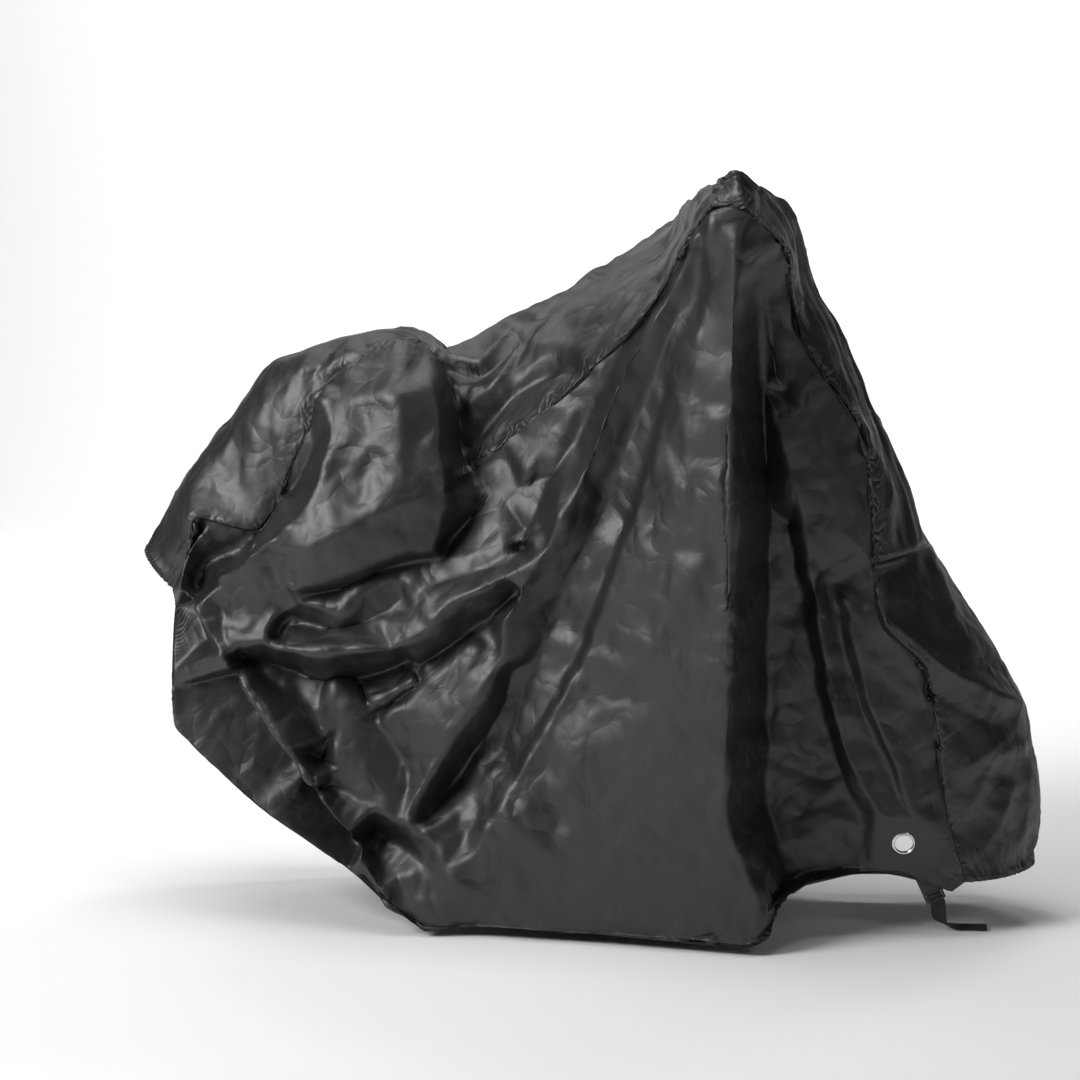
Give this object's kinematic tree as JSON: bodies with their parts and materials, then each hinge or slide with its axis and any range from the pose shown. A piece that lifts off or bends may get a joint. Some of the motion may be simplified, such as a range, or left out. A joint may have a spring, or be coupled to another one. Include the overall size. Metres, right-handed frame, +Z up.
{
  "type": "bicycle cover",
  "caption": "Black taffeta bicycle cover, draped as over a bicycle with wide tyres, with elastic hems, a metal eyelet near the front hem and a buckled hem strap.",
  "frame": {"origin": "the point under the top of the cover where the bicycle's saddle bears, on the centre plane; the floor is 0.987 m below", "axes": "+X towards the front wheel, +Y to the bicycle's left (the far side in the picture), +Z up"},
  "size_m": [1.5399, 0.6824, 1.2465],
  "materials": {
    "black_taffeta": "coated taffeta with a soft sheen",
    "nickel": "polished",
    "black_plastic": "moulded, satin",
    "black_webbing": "woven, matt"
  },
  "bodies": {
    "root": {"side_panel_near": "black_taffeta", "hem_band_near": "black_taffeta", "top_strip": "black_taffeta", "front_panel": "black_taffeta", "side_panel_far": "black_taffeta", "eyelet": "nickel", "buckle_socket": "black_plastic", "buckle_plug": "black_plastic", "hem_tab": "black_webbing", "strap_tail": "black_webbing"}
  },
  "joints": []
}
